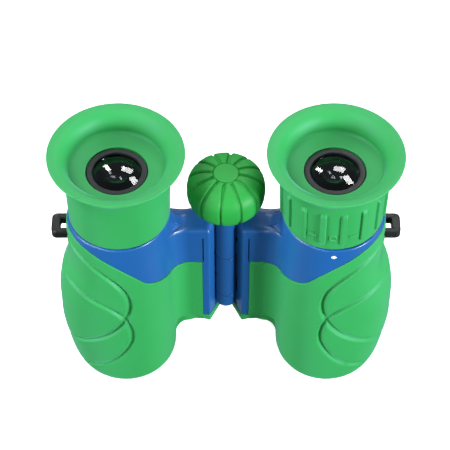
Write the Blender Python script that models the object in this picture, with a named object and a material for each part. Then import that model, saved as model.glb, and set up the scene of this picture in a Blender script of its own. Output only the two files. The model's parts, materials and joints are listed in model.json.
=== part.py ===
"""Children's 21 mm roof-prism binoculars, standing on their objective ends.

Every length below is in millimetres and every mesh is written in metres.
Z runs up along the optical axes, X runs from the left barrel to the right
one, and the side that the two barrels fold towards faces -Y.  The origin is
on the floor, midway between the two objective ends.
"""
import math

import bmesh
import bpy
import numpy as np

MM = 0.001

# ---------------------------------------------------------------- driving sizes
HALF_SPACING = 34.8        # optical axis to the middle plane, halves fully open
BODY_HEIGHT = 71.0         # shoulder that the eyepiece barrels stand on
BARREL_HEIGHT = 28.0       # eyecup rim above that shoulder
FRONT_RADIUS = 17.3        # body at the shoulder, and all round its front
GRIP_BULGE = 3.4           # how far the outer side swells past the front radius
ARMOR = 1.5                # rubber armour
ARMOR_SEAT = 0.55          # room for the armour's adhesive
WALL = 2.0                 # housing wall behind the armour
GAP = 0.3                  # clearance between pieces that touch

HINGE_Y = 3.0              # hinge axis behind the plane of the optical axes
WING_HALF = 5.2            # half the thickness of the bridge wings
WING_TOP_DROP = 8.0        # bridge top below the shoulder
WING_BOTTOM = 14.5         # underside of the bridge, armour included
WING_ARCH = 8.0            # height of the arch that joins it to the body
WING_FILLET = 7.0          # upright fillet between the wing and the body
END_FRONT = 5.4            # wing end to the middle plane, at its front edge
END_BACK = 0.3             # and at its back edge, so that the gap is a V
RAIL_EDGE = 7.9            # bare rail from the wing end out to here
RAIL_BOTTOM = 16.8         # lower end of the bare rail
SEAM_DROP = 24.7           # armour ends this far below the shoulder on the bridge

KNUCKLE_RADIUS = 3.6
KNUCKLE_RELIEF = 0.5       # room round a knuckle in the other half
KNUCKLE_FOOT = 19.8
LOWER_KNUCKLE = 5.7
MIDDLE_SHARE = 0.456        # middle knuckle's share of the tube above the lower one
KNUCKLE_NECK = 7.0         # upper knuckle above the bridge top
BUSH_OUTER = 2.6
BUSH_WALL = 0.6
BUSH_GRIP = 3.0            # how far a bush reaches into each knuckle

KNOB_RADIUS = 12.8
KNOB_HEIGHT = 16.0
KNOB_FULLNESS = 2.8        # exponent of the knob's rounded outline
KNOB_CAP_RADIUS = 4.1
KNOB_CAP_THICKNESS = 1.6

ARM_THICKNESS = 1.6
ARM_WIDTH = 3.0
FOCUS_TRAVEL = 1.2         # each way

OBJECTIVE_RADIUS = 10.5
OBJECTIVE_RECESS = 4.5
CELL_SHARE = 0.317         # length of the objective cell, of the body's height
CELL_WALL = 1.9

EYE_LENS_RADIUS = 7.8
RIM_RADIUS = 22.0
BARREL_RADIUS = 16.6
BARREL_TAPER = 0.5         # the barrel is this much wider under its rim
CUP_DEPTH = 8.5
CUP_FLOOR_RADIUS = 15.6
SLEEVE_WALL = 3.8
DIOPTER_TRAVEL = 0.45      # each way
RIBS = 16
RIB_PHASE = -2.6           # degrees that the zero mark stands off the front
RIB_HEIGHT = 0.8
RIB_WIDTH = 1.9
RIB_LENGTH = 13.0

DECK_DROP = 8.7            # eyepiece seat below the shoulder
DECK_THICKNESS = 2.0
CAGE_WALL = 1.2
CAGE_SHARE = 0.387         # length of the prism cage, of the body's height

LUG_REACH = 57.4
LUG_WIDTH = 8.6
LUG_THICKNESS = 3.3
LUG_DROP = 6.0             # lug top below the shoulder
LUG_SLOT = (2.9, 4.0)      # along X, along Y
LUG_FRAME = 2.9            # lug outside its slot

# --------------------------------------------------------------- derived sizes
TOTAL_HEIGHT = BODY_HEIGHT + BARREL_HEIGHT
WING_TOP = BODY_HEIGHT - WING_TOP_DROP
BRIDGE_SEAM = BODY_HEIGHT - SEAM_DROP
COVER = ARMOR + ARMOR_SEAT
BORE_RADIUS = FRONT_RADIUS - COVER - WALL
DECK_TOP = BODY_HEIGHT - DECK_DROP
DECK_BOTTOM = DECK_TOP - DECK_THICKNESS
SLEEVE_RADIUS = BARREL_RADIUS - 4.2
LOWER_SPLIT = KNUCKLE_FOOT + LOWER_KNUCKLE
KNUCKLE_TOP = WING_TOP + KNUCKLE_NECK
UPPER_SPLIT = LOWER_SPLIT + MIDDLE_SHARE * (KNUCKLE_TOP - LOWER_SPLIT)
LEFT_ARM_HEIGHT = (LOWER_SPLIT + UPPER_SPLIT) / 2
KNUCKLE_BORE = BUSH_OUTER + GAP
ROD_RADIUS = BUSH_OUTER - BUSH_WALL - GAP
NECK_RADIUS = ROD_RADIUS - 0.7
SCREW_RADIUS = 0.9
KNOB_BOTTOM = KNUCKLE_TOP + GAP + 0.1
KNOB_TOP = KNOB_BOTTOM + KNOB_HEIGHT
CELL_RADIUS = BORE_RADIUS - GAP
CELL_BOTTOM = OBJECTIVE_RECESS
CELL_TOP = CELL_BOTTOM + CELL_SHARE * BODY_HEIGHT
CUP_FLOOR = TOTAL_HEIGHT - CUP_DEPTH
CAGE_TOP = DECK_BOTTOM - GAP
CAGE_LENGTH = CAGE_SHARE * BODY_HEIGHT
CAGE_HALF = (CELL_RADIUS * 0.72, CELL_RADIUS * 0.63)
FLANGE = 1.7
RIGHT_ARM_HEIGHT = (UPPER_SPLIT + BUSH_GRIP + CAGE_TOP - FLANGE) / 2

FINISHES = {
    "green rubber": ((0.08, 0.52, 0.13), 0.48, 0.0),
    "green plastic": ((0.06, 0.42, 0.12), 0.45, 0.0),
    "blue plastic": ((0.02, 0.11, 0.38), 0.35, 0.0),
    "black plastic": ((0.03, 0.03, 0.03), 0.45, 0.0),
    "white paint": ((0.9, 0.9, 0.9), 0.4, 0.0),
    "coated glass": ((0.55, 0.6, 0.75), 0.05, 0.0),
    "prism glass": ((0.75, 0.85, 0.85), 0.03, 0.0),
    "brass": ((0.75, 0.55, 0.2), 0.3, 1.0),
    "steel": ((0.6, 0.6, 0.62), 0.3, 1.0),
}

BODY_COLUMNS = 23          # sides of the body's round part
TURNED_SIDES = 24


# ------------------------------------------------------------------- mesh tools
def material(name):
    """Return the Principled material of this finish, made on first use."""
    made = bpy.data.materials.get(name)
    if made:
        return made
    colour, roughness, metallic = FINISHES[name]
    made = bpy.data.materials.new(name)
    made.use_nodes = True
    shader = made.node_tree.nodes["Principled BSDF"]
    shader.inputs["Base Color"].default_value = (*colour, 1.0)
    shader.inputs["Roughness"].default_value = roughness
    shader.inputs["Metallic"].default_value = metallic
    return made


def add_object(name, points, faces, finish):
    """Make a closed mesh object from points in millimetres."""
    mesh = bpy.data.meshes.new(name)
    mesh.from_pydata((np.asarray(points) * MM).tolist(), [], faces)
    work = bmesh.new()
    work.from_mesh(mesh)
    bmesh.ops.recalc_face_normals(work, faces=work.faces)
    work.to_mesh(mesh)
    work.free()
    mesh.shade_smooth()
    mesh.set_sharp_from_angle(angle=math.radians(35))
    made = bpy.data.objects.new(name, mesh)
    mesh.materials.append(material(finish))
    bpy.context.scene.collection.objects.link(made)
    return made


def strip(first, second, count):
    """Return the quads between two closed rings of points."""
    return [(first + i, first + (i + 1) % count, second + (i + 1) % count, second + i)
            for i in range(count)]


def ring_solid(name, rings, finish):
    """Close a list of rings into a solid with a hole through it."""
    count = len(rings[0])
    faces = []
    for index in range(len(rings)):
        following = (index + 1) % len(rings)
        faces += strip(index * count, following * count, count)
    return add_object(name, np.concatenate(rings), faces, finish)


def capped_solid(name, rings, finish):
    """Close a stack of rings with a flat face at each end."""
    count = len(rings[0])
    last = (len(rings) - 1) * count
    faces = [tuple(reversed(range(count))), tuple(range(last, last + count))]
    for index in range(len(rings) - 1):
        faces += strip(index * count, (index + 1) * count, count)
    return add_object(name, np.concatenate(rings), faces, finish)


def circle(radius, height, centre, angles):
    """Return one level ring of points about centre."""
    x = centre[0] + radius * np.cos(angles)
    y = centre[1] + radius * np.sin(angles)
    return np.stack([x, y, np.full(len(angles), float(height))], axis=1)


def turned(name, profile, centre, finish, hollow=True, sides=TURNED_SIDES):
    """Turn a profile of (radius, height) pairs about the upright axis at centre."""
    angles = np.linspace(0, math.tau, sides, endpoint=False)
    rings = [circle(radius, height, centre, angles) for radius, height in profile]
    close = ring_solid if hollow else capped_solid
    return close(name, rings, finish)


def tube(name, outer, inner, low, high, centre, finish, sides=TURNED_SIDES):
    """Make a plain upright tube."""
    profile = [(outer, low), (outer, high), (inner, high), (inner, low)]
    return turned(name, profile, centre, finish, sides=sides)


def rod(name, radius, low, high, centre, finish, sides=TURNED_SIDES):
    """Make a plain upright rod."""
    return turned(name, [(radius, low), (radius, high)], centre, finish, False, sides)


def block(name, low, high, finish):
    """Make a box between two opposite corners."""
    (x0, y0, z0), (x1, y1, z1) = low, high
    rings = [np.array([(x0, y0, z), (x1, y0, z), (x1, y1, z), (x0, y1, z)]) for z in (z0, z1)]
    return capped_solid(name, rings, finish)


def extruded(name, outline, low, high, centre, finish):
    """Extrude an (x, z) outline about centre along Y, from low to high."""
    rings = [np.array([(centre[0] + x, centre[1] + y, z) for x, z in outline])
             for y in (low, high)]
    return capped_solid(name, rings, finish)


def combine(target, tool, operation="DIFFERENCE"):
    """Cut target with tool, or join tool to it, and remove tool."""
    boolean = target.modifiers.new("boolean", "BOOLEAN")
    boolean.operation = operation
    boolean.object = tool
    bpy.context.view_layer.update()
    evaluated = target.evaluated_get(bpy.context.evaluated_depsgraph_get())
    finished = bpy.data.meshes.new_from_object(evaluated)
    target.modifiers.clear()
    target.data = finished
    bpy.data.objects.remove(tool)
    finished.shade_smooth()
    finished.set_sharp_from_angle(angle=math.radians(35))
    return target


def set_origin(target, x, y, z):
    """Move an object's origin to a point on its joint's axis."""
    shift = np.array([x, y, z]) * MM
    points = np.empty(len(target.data.vertices) * 3)
    target.data.vertices.foreach_get("co", points)
    target.data.vertices.foreach_set("co", (points.reshape(-1, 3) - shift).ravel())
    target.location = shift


def smooth_curve(knots, at):
    """Interpolate (position, value) knots with a cubic that doesn't overshoot."""
    x = np.array([knot[0] for knot in knots], float)
    y = np.array([knot[1] for knot in knots], float)
    steps = np.diff(y) / np.diff(x)
    product = steps[:-1] * steps[1:]
    inner = np.where(product > 0, 2 * product / (steps[:-1] + steps[1:] + 1e-12), 0.0)
    slopes = np.concatenate([[steps[0]], inner, [steps[-1]]])
    at = np.clip(np.asarray(at, float), x[0], x[-1])
    index = np.clip(np.searchsorted(x, at, side="right") - 1, 0, len(x) - 2)
    width = x[index + 1] - x[index]
    t = (at - x[index]) / width
    rise = y[index + 1] - y[index]
    start, finish = slopes[index] * width, slopes[index + 1] * width
    return y[index] + t * start + t**2 * (3 * rise - 2 * start - finish) \
        + t**3 * (start + finish - 2 * rise)


# ---------------------------------------------------------------- body section
def body_radius(angle, height):
    """Radius of the body about its optical axis.

    The angle runs from the bridge side (0) round the back (90 degrees) to
    the outer grip (180) and the front (-90).  The grip swells in height.
    """
    share = np.clip(height / BODY_HEIGHT, 0, 1)
    front = FRONT_RADIUS + smooth_curve([(0, 0.65), (0.3, 1.15), (0.65, 1.1), (1, 0)], share)
    swell = smooth_curve([(0, -0.1), (0.06, 0.35), (0.14, 0.6), (0.3, 0.96), (0.46, 0.97),
                          (0.62, 0.58), (0.76, -0.2), (0.9, 0.05), (1, 0)], share)
    outward = np.clip(-np.cos(angle), 0, 1) ** 2.7
    inward = np.clip(np.cos(angle), 0, 1) ** 1.6
    return front + GRIP_BULGE * swell * outward - 0.8 * inward


def wing_edge(y, inset):
    """Distance of the wing's slanted end from the middle plane."""
    slope = (END_FRONT - END_BACK) / (2 * WING_HALF)
    return END_BACK + slope * (HINGE_Y + WING_HALF - y) + inset * math.hypot(1, slope)


def columns(inset, edge):
    """Return the section's points that don't depend on height, as (angle, reach).

    Round points have reach 0.  Wing points lie on the front face, the slanted
    end and the back face of the wing, inset by the given amount.
    """
    front = HINGE_Y - WING_HALF + inset
    back = HINGE_Y + WING_HALF - inset
    shoulder = HALF_SPACING - FRONT_RADIUS
    outer_edge, inner_edge = RAIL_EDGE + edge, RAIL_EDGE + edge - GAP
    face = [shoulder, shoulder * 0.86, shoulder * 0.7, outer_edge, inner_edge]
    points = [(x, front) for x in face]
    points += [(wing_edge(y, inset), y) for y in np.linspace(front, back, 4)]
    points += [(x, back) for x in reversed(face)]
    points = np.array(points)
    from_axis = HALF_SPACING - points[:, 0]
    angle = np.arctan2(points[:, 1], from_axis)
    reach = np.hypot(points[:, 1], from_axis)
    first = math.atan2(HINGE_Y + WING_HALF, FRONT_RADIUS)
    last = math.tau + math.atan2(HINGE_Y - WING_HALF, FRONT_RADIUS)
    fillet = np.array([0.04, 0.12])
    middle = np.linspace(first + 0.26, last - 0.26, BODY_COLUMNS - 2 * len(fillet))
    round_angle = np.concatenate([first + fillet, middle, last - fillet[::-1]])
    rail = (points[:, 0] <= inner_edge + 1e-6)
    on_rail = np.concatenate([rail, np.zeros(BODY_COLUMNS, bool)])
    angles = np.concatenate([angle, round_angle])
    return angles, np.concatenate([reach, np.zeros(BODY_COLUMNS)]), on_rail


def filleted(angle, body, reach, inset):
    """Radius of body and wing together, with a concave fillet between them.

    The fillet is a circle that touches the body's circle and the flat face
    of the wing, front or back.
    """
    sine, cosine = np.abs(np.sin(angle)), np.cos(angle)
    face = WING_HALF + np.sign(np.sin(angle)) * HINGE_Y - inset
    radius = WING_FILLET + inset
    rise = face + radius
    run = np.sqrt((body + radius)**2 - rise**2)
    near = run * cosine + rise * sine
    beyond = np.sqrt(np.clip(near**2 - run**2 - rise**2 + radius**2, 0, None))
    on_arc = (cosine > 0) & (sine * run > face * cosine) & (sine * run < rise * cosine)
    return np.where(on_arc, near - beyond, np.maximum(body, reach))


def section(side, inset, height, extent, edge=0.0, bevel=0.0):
    """Return one ring of the body-and-wing outline.

    inset moves the whole outline in, bevel moves only the wing in, and
    extent is how far the wing stands out of the body, from 0 to 1.
    """
    angle, reach, on_rail = columns(inset + bevel, edge)
    height = np.broadcast_to(np.asarray(height, float), angle.shape)
    body = body_radius(angle, height) - inset
    radius = body + extent * (filleted(angle, body, reach, inset + bevel) - body)
    x = side * (HALF_SPACING - radius * np.cos(angle))
    return np.stack([x, radius * np.sin(angle), height], axis=1)


def seam(inset, edge):
    """Height of the line where the armour ends, for each section column."""
    angle, reach, on_rail = columns(inset, edge)
    turned_angle = np.degrees(np.abs(np.arctan2(np.sin(angle), np.cos(angle))))
    knots = [(20, SEAM_DROP), (45, 21.6), (60, 19.0), (75, 13.6), (90, 9.2), (105, 6.2),
             (125, 3.6), (150, 2.4), (180, 2.4)]
    line = BODY_HEIGHT - smooth_curve(knots, turned_angle)
    line = np.where(reach > 0, BRIDGE_SEAM, line)
    return np.where(on_rail, RAIL_BOTTOM, line)


ARCH = [(1.0, 0.0), (0.62, 0.06), (0.25, 0.22), (0.0, 0.42), (0.0, 1.0)]


def bore_ring(side, radius, height, inset, edge=0.0):
    """Return a round ring whose points face the section's columns."""
    angle = columns(inset, edge)[0]
    x = side * (HALF_SPACING - radius * np.cos(angle))
    return np.stack([x, radius * np.sin(angle), np.full(len(angle), float(height))], axis=1)


def make_armor(prefix, side):
    """Rubber skin over the grip, open at the bridge rail and the objective."""
    edge = GAP / 2
    top = seam(0, edge)
    lip = BORE_RADIUS + 0.2
    rings = [bore_ring(side, lip, 0, 0, edge)]
    rings += [section(side, inset, height, 0, edge) for inset, height in
              ((1.5, 0.0), (0.5, 0.5), (0.0, 1.8))]
    rings += [section(side, 0, WING_BOTTOM - WING_ARCH * down, extent, edge)
              for down, extent in ARCH]
    rings += [section(side, 0, WING_BOTTOM + (top - WING_BOTTOM) * part, 1, edge)
              for part in (0.3, 0.65, 1.0)]
    under = WING_BOTTOM + ARMOR
    rings += [section(side, ARMOR, under + (top - under) * part, 1, edge)
              for part in (1.0, 0.65, 0.3)]
    rings += [section(side, ARMOR, under - WING_ARCH * down, extent, edge)
              for down, extent in reversed(ARCH)]
    rings += [section(side, ARMOR, ARMOR, 0, edge), bore_ring(side, lip, ARMOR, 0, edge)]
    armor = ring_solid(prefix + "armor", rings, "green rubber")
    tool = lug_block("armor lug cut", side, GAP)
    return combine(armor, tool)


def lug_block(name, side, clearance):
    """Solid of the strap lug without its slot, grown by clearance."""
    inner = HALF_SPACING + FRONT_RADIUS - COVER - 1.0 - clearance
    outer = LUG_REACH + clearance
    top = BODY_HEIGHT - LUG_DROP + clearance
    half = LUG_WIDTH / 2 + clearance
    corner = 1.6
    outline = [(inner, -half), (outer - corner, -half), (outer - 0.4 * corner, 0.4 * corner - half),
               (outer, corner - half), (outer, half - corner),
               (outer - 0.4 * corner, half - 0.4 * corner), (outer - corner, half), (inner, half)]
    low = top - LUG_THICKNESS - 2 * clearance
    rings = [np.array([(side * x, y, z) for x, y in outline]) for z in (low, top)]
    return capped_solid(name, rings, "black plastic")


def make_lug(prefix, side):
    """Strap lug: a plate set into the housing, with a slot for the strap."""
    lug = lug_block(prefix + "strap_lug", side, 0.0)
    outer = LUG_REACH - LUG_FRAME
    inner = outer - LUG_SLOT[0]
    middle = BODY_HEIGHT - LUG_DROP - LUG_THICKNESS / 2
    corners = sorted((side * inner, side * outer))
    tool = block("slot", (corners[0], -LUG_SLOT[1] / 2, middle - LUG_THICKNESS),
                 (corners[1], LUG_SLOT[1] / 2, middle + LUG_THICKNESS), "black plastic")
    return combine(lug, tool)


def housing_shell(prefix, side):
    """Housing before its hinge: bare above the seam, set in under the armour."""
    edge = -GAP / 2
    line = seam(COVER, edge)
    foot = COVER
    under = WING_BOTTOM + COVER
    rings = [bore_ring(side, BORE_RADIUS, foot, COVER, edge),
             section(side, COVER + 0.3, foot, 0, edge)]
    rings += [section(side, COVER, under - WING_ARCH * down, extent, edge)
              for down, extent in ARCH]
    rings += [section(side, COVER, under + (line + GAP - under) * part, 1, edge)
              for part in (0.3, 0.65, 1.0)]
    rings += [section(side, 0, line + GAP, 1, edge)]
    levels = [(WING_TOP - 1.2, 1.0, 0.0), (WING_TOP - 0.4, 1.0, 0.3), (WING_TOP, 1.0, 1.0),
              (WING_TOP, 0.3, 0.6), (WING_TOP + 1.0, 0.1, 0.0), (WING_TOP + 3.0, 0.0, 0.0)]
    for step, (height, extent, bevel) in enumerate(levels):
        lowest = line + GAP + 0.2 * (step + 1)
        rings.append(section(side, 0, np.maximum(height, lowest), extent, edge, bevel))
    rings.append(section(side, 0, BODY_HEIGHT - 0.5, 0, edge))
    rings.append(section(side, 0.5, BODY_HEIGHT, 0, edge))
    seat = SLEEVE_RADIUS + GAP
    for radius, height in ((seat, BODY_HEIGHT), (seat, DECK_TOP), (EYE_LENS_RADIUS + 1, DECK_TOP),
                           (EYE_LENS_RADIUS + 1, DECK_BOTTOM), (BORE_RADIUS, DECK_BOTTOM)):
        rings.append(bore_ring(side, radius, height, 0, edge))
    return ring_solid(prefix + "housing", rings, "blue plastic")


def hinge_rod(name, radius, low, high):
    """Rod on the hinge axis, for knuckles and for their cutters."""
    return rod(name, radius, low, high, (0, HINGE_Y), "blue plastic", 28)


def make_housing(prefix, side, own, other, arm_height):
    """Housing with its knuckles (own) and room for the other half's (other)."""
    housing = housing_shell(prefix, side)
    for low, high in other:
        radius = KNUCKLE_RADIUS + KNUCKLE_RELIEF
        combine(housing, hinge_rod("relief", radius, low, high))
    for low, high in own:
        combine(housing, hinge_rod("knuckle", KNUCKLE_RADIUS, low, high), "UNION")
    combine(housing, hinge_rod("bore", KNUCKLE_BORE, WING_BOTTOM, KNUCKLE_TOP + 5))
    half_width = ARM_WIDTH / 2 + GAP
    half_height = ARM_THICKNESS / 2 + FOCUS_TRAVEL + GAP
    ends = sorted((side * (HALF_SPACING - BORE_RADIUS + 1), 0.0))
    low = (ends[0], HINGE_Y - half_width, arm_height - half_height)
    high = (ends[1], HINGE_Y + half_width, arm_height + half_height)
    combine(housing, block("arm slot", low, high, "blue plastic"))
    combine(housing, lug_block("lug pocket", side, GAP))
    for sign in (-1, 1):
        place = cage_screw_place(side, sign)
        combine(housing, rod("pilot", 0.7 + GAP, DECK_BOTTOM - 1, DECK_TOP + 1, place, "steel", 12))
    return housing


# --------------------------------------------------------------- inside a tube
def cage_screw_place(side, sign):
    """Place of a prism cage screw, in front of or behind the optical axis."""
    return (side * HALF_SPACING, sign * (CELL_RADIUS - 2.2))


def make_prisms(prefix, side):
    """Prism cage, its two prisms, their spring plate and the cage's screws."""
    centre = (side * HALF_SPACING, 0)
    x, y = CAGE_HALF
    low, high = CAGE_TOP - CAGE_LENGTH, CAGE_TOP
    cage = block(prefix + "prism_cage", (centre[0] - x, -y, low), (centre[0] + x, y, high - 0.5),
                 "black plastic")
    combine(cage, rod("flange", CELL_RADIUS, high - FLANGE, high, centre, "black plastic"), "UNION")
    inner_x, inner_y = x - CAGE_WALL, y - CAGE_WALL
    combine(cage, block("hollow", (centre[0] - inner_x, -inner_y, low - 1),
                        (centre[0] + inner_x, inner_y, high - FLANGE), "black plastic"))
    combine(cage, rod("window", EYE_LENS_RADIUS - 1, low, high + 1, centre, "black plastic"))
    for sign, letter in ((-1, "front"), (1, "back")):
        place = cage_screw_place(side, sign)
        combine(cage, rod("hole", 0.7 + GAP, high - 5, high + 1, place, "steel", 12))
        head = high - FLANGE - GAP
        turned(prefix + "cage_screw_" + letter, [(1.5, head - 1.0), (1.5, head), (0.7, head),
                                                 (0.7, DECK_TOP - GAP)], place, "steel", False, 12)
    half = inner_x - GAP
    foot, roof = low + 0.6, high - FLANGE - GAP
    waist = foot + 0.36 * (roof - foot)
    slope = 0.41 * 2 * half
    lower = [(-half, foot), (half, foot), (half, waist), (-half, waist + slope)]
    upper = [(-half, waist + slope + GAP), (half, waist + GAP), (half, roof - half * 0.8),
             (half * 0.5, roof), (-half * 0.5, roof), (-half, roof - half * 0.8)]
    depth = inner_y - 1.2
    extruded(prefix + "half_penta_prism", lower, -depth, depth, centre, "prism glass")
    extruded(prefix + "roof_prism", upper, -depth, depth, centre, "prism glass")
    block(prefix + "prism_spring", (centre[0] - half + 1, depth + GAP, foot + 2),
          (centre[0] + half - 1, inner_y - GAP, roof - 3), "steel")


def lens(name, radius, low, high, low_bow, high_bow, centre):
    """A lens: low_bow and high_bow are how far each face stands out (or in)."""
    share = np.array([0.35, 0.75])
    under = [(radius * s, low - low_bow * (1 - s**2)) for s in share]
    over = [(radius * s, high + high_bow * (1 - s**2)) for s in share[::-1]]
    profile = under + [(radius, low), (radius, high)] + over
    return turned(name, profile, centre, "coated glass", False, 20)


def make_objective(prefix, side, arm_height):
    """Sliding objective cell with its doublet, lock ring and focus arm."""
    centre = (side * HALF_SPACING, 0)
    inner = CELL_RADIUS - CELL_WALL
    glass = inner - GAP
    seat = CELL_BOTTOM + 1.2
    cell = turned(prefix + "objective_cell",
                  [(CELL_RADIUS, CELL_BOTTOM), (CELL_RADIUS, CELL_TOP), (inner, CELL_TOP),
                   (inner, seat), (OBJECTIVE_RADIUS - 0.6, seat),
                   (OBJECTIVE_RADIUS, CELL_BOTTOM)], centre, "black plastic")
    bow = 0.9
    crown_low = seat + GAP + bow * (1 - ((OBJECTIVE_RADIUS - 0.6) / glass)**2)
    crown_top = crown_low + 2.6
    lens(prefix + "crown_lens", glass, crown_low, crown_top, bow, bow, centre)
    flint_low = crown_top + GAP
    flint_top = flint_low + 2.4
    lens(prefix + "flint_lens", glass, flint_low, flint_top, -bow, -0.3, centre)
    tube(prefix + "objective_lock_ring", glass, glass - 1.3, flint_top + GAP, flint_top + 1.9,
         centre, "black plastic")
    arm = make_arm(prefix + "focus_arm", side, arm_height)
    return cell, arm


def make_arm(name, side, arm_height):
    """Focus arm: a bar from the carriage, bent down to stand on the cell."""
    inner = HALF_SPACING - (CELL_RADIUS - 0.5)
    thin = 1.0
    half = ARM_THICKNESS / 2
    tip = -NECK_RADIUS - GAP - 0.3
    foot = CELL_TOP + GAP
    outline = [(tip, arm_height - half), (inner, arm_height - half), (inner, foot),
               (inner + thin, foot), (inner + thin, arm_height + half), (tip, arm_height + half)]
    outline = [(side * x, z) for x, z in outline]
    arm = extruded(name, outline, -ARM_WIDTH / 2, ARM_WIDTH / 2, (0, HINGE_Y), "steel")
    return combine(arm, fork_cut(side, arm_height))


def fork_cut(side, arm_height):
    """Cutter for the fork that grips the carriage's groove."""
    width = NECK_RADIUS + GAP
    ends = sorted((side * -5.0, side * (NECK_RADIUS + GAP)))
    return block("fork", (ends[0], HINGE_Y - width + 0.2, arm_height - 3),
                 (ends[1], HINGE_Y + width - 0.2, arm_height + 3), "steel")


def make_eyepiece(prefix, side):
    """Sleeve, field lens, spacer, eye lens and the black ring round it."""
    centre = (side * HALF_SPACING, 0)
    inner = SLEEVE_RADIUS - SLEEVE_WALL
    glass = inner - GAP
    low = DECK_TOP + GAP + DIOPTER_TRAVEL
    high = CUP_FLOOR - 2.3
    seat = low + 1.6
    turned(prefix + "eyepiece_sleeve",
           [(SLEEVE_RADIUS, low), (SLEEVE_RADIUS, high), (inner, high), (inner, seat),
            (glass - 1.0, seat), (glass - 1.0, low)], centre, "black plastic")
    field_top = seat + 3.0
    lens(prefix + "field_lens", glass, seat + GAP, field_top, 0.2, 1.3, centre)
    eye_low = high - 3.6
    tube(prefix + "lens_spacer", glass, glass - 1.0, field_top + 3 * GAP, eye_low - GAP, centre,
         "black plastic")
    lens(prefix + "eye_lens", glass, eye_low, high - GAP, 0.6, 1.9, centre)
    ring = EYE_LENS_RADIUS + 1.95
    turned(prefix + "eyepiece_ring",
           [(ring, high + GAP), (ring, CUP_FLOOR - 0.5), (ring - 0.5, CUP_FLOOR),
            (ring - 0.9, CUP_FLOOR), (EYE_LENS_RADIUS, CUP_FLOOR - 1.0),
            (EYE_LENS_RADIUS, high + GAP)], centre, "black plastic")


def cup_profile():
    """Profile of the eyecup and its barrel, as (radius, height, rib share)."""
    bottom = BODY_HEIGHT + GAP
    under = CUP_FLOOR - 1.4
    wide = BARREL_RADIUS + BARREL_TAPER
    trumpet = []
    for step in range(1, 5):
        turn = math.radians(90 * step / 4)
        radius = RIM_RADIUS - 0.5 - (RIM_RADIUS - 0.5 - CUP_FLOOR_RADIUS) * math.sin(turn)
        drop = (CUP_DEPTH - 1.2) * (1 - math.cos(turn))
        trumpet.append((radius, TOTAL_HEIGHT - drop, 0))
    bore = SLEEVE_RADIUS + GAP + 0.1
    return [(BARREL_RADIUS - 0.3, bottom, 0), (BARREL_RADIUS, bottom + 0.3, 0),
            (BARREL_RADIUS, bottom + 1.4, 0), (BARREL_RADIUS, bottom + 2.0, 1),
            (BARREL_RADIUS + 0.2, bottom + RIB_LENGTH, 1),
            (BARREL_RADIUS + 0.2, bottom + RIB_LENGTH + 0.8, 0),
            (wide, TOTAL_HEIGHT - 9.0, 0), (wide + 1.4, TOTAL_HEIGHT - 5.5, 0),
            (RIM_RADIUS - 0.5, TOTAL_HEIGHT - 2.6, 0), (RIM_RADIUS, TOTAL_HEIGHT - 1.8, 0),
            (RIM_RADIUS, TOTAL_HEIGHT - 0.4, 0), (RIM_RADIUS - 0.4, TOTAL_HEIGHT, 0),
            *trumpet, (EYE_LENS_RADIUS + 2.4, CUP_FLOOR + 0.2, 0),
            (EYE_LENS_RADIUS + 2.4, under, 0), (bore, under, 0), (bore, bottom, 0)]


def make_eyecup(name, side, ribbed):
    """Rubber eyecup moulded with its barrel; the right one has grip ribs."""
    centre = (side * HALF_SPACING, 0)
    if not ribbed:
        profile = [(radius, height) for radius, height, share in cup_profile()]
        return turned(name, profile, centre, "green rubber", sides=32)
    pitch = math.tau / RIBS
    half = RIB_WIDTH / 2 / BARREL_RADIUS
    middles = math.radians(RIB_PHASE - 90) + (np.arange(RIBS) + 0.5) * pitch
    offsets = np.array([-half - 0.02, -half, half, half + 0.02])
    angles = (middles[:, None] + offsets).ravel()
    raised = np.tile([0.0, 1.0, 1.0, 0.0], RIBS)
    rings = []
    for radius, height, share in cup_profile():
        ring = circle(1, height, (0, 0), angles)
        ring[:, :2] *= (radius + RIB_HEIGHT * share * raised)[:, None]
        rings.append(ring + np.array([centre[0], 0, 0]))
    return ring_solid(name, rings, "green rubber")


# ------------------------------------------------------------ hinge and focus
def make_hinge_parts():
    """Bushes that join the knuckles, the end plug and the screw's collar."""
    axis = (0, HINGE_Y)
    for name, split in (("lower_hinge_bush", LOWER_SPLIT), ("upper_hinge_bush", UPPER_SPLIT)):
        tube(name, BUSH_OUTER, BUSH_OUTER - BUSH_WALL, split - BUSH_GRIP, split + BUSH_GRIP,
             axis, "brass", 24)
    rod("hinge_plug", BUSH_OUTER, KNUCKLE_FOOT + 0.4, LOWER_SPLIT - BUSH_GRIP - GAP, axis,
        "black plastic", 24)
    tube("focus_screw_collar", BUSH_OUTER, SCREW_RADIUS + GAP, KNUCKLE_TOP - 5.5,
         KNUCKLE_TOP - GAP, axis, "brass", 24)


def make_carriage():
    """Focus carriage: a rod with a groove for each arm and a threaded top."""
    groove = ARM_THICKNESS / 2 + GAP
    top = KNUCKLE_TOP - 5.5 - FOCUS_TRAVEL - 0.6
    low = LEFT_ARM_HEIGHT - 3
    blind = RIGHT_ARM_HEIGHT + 2
    bore = SCREW_RADIUS + GAP
    profile = [(ROD_RADIUS, low)]
    for height in (LEFT_ARM_HEIGHT, RIGHT_ARM_HEIGHT):
        profile += [(ROD_RADIUS, height - groove), (NECK_RADIUS, height - groove),
                    (NECK_RADIUS, height + groove), (ROD_RADIUS, height + groove)]
    profile += [(ROD_RADIUS, top), (bore, top), (bore, blind)]
    return turned("focus_carriage", profile, (0, HINGE_Y), "brass", False, 24)


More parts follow.
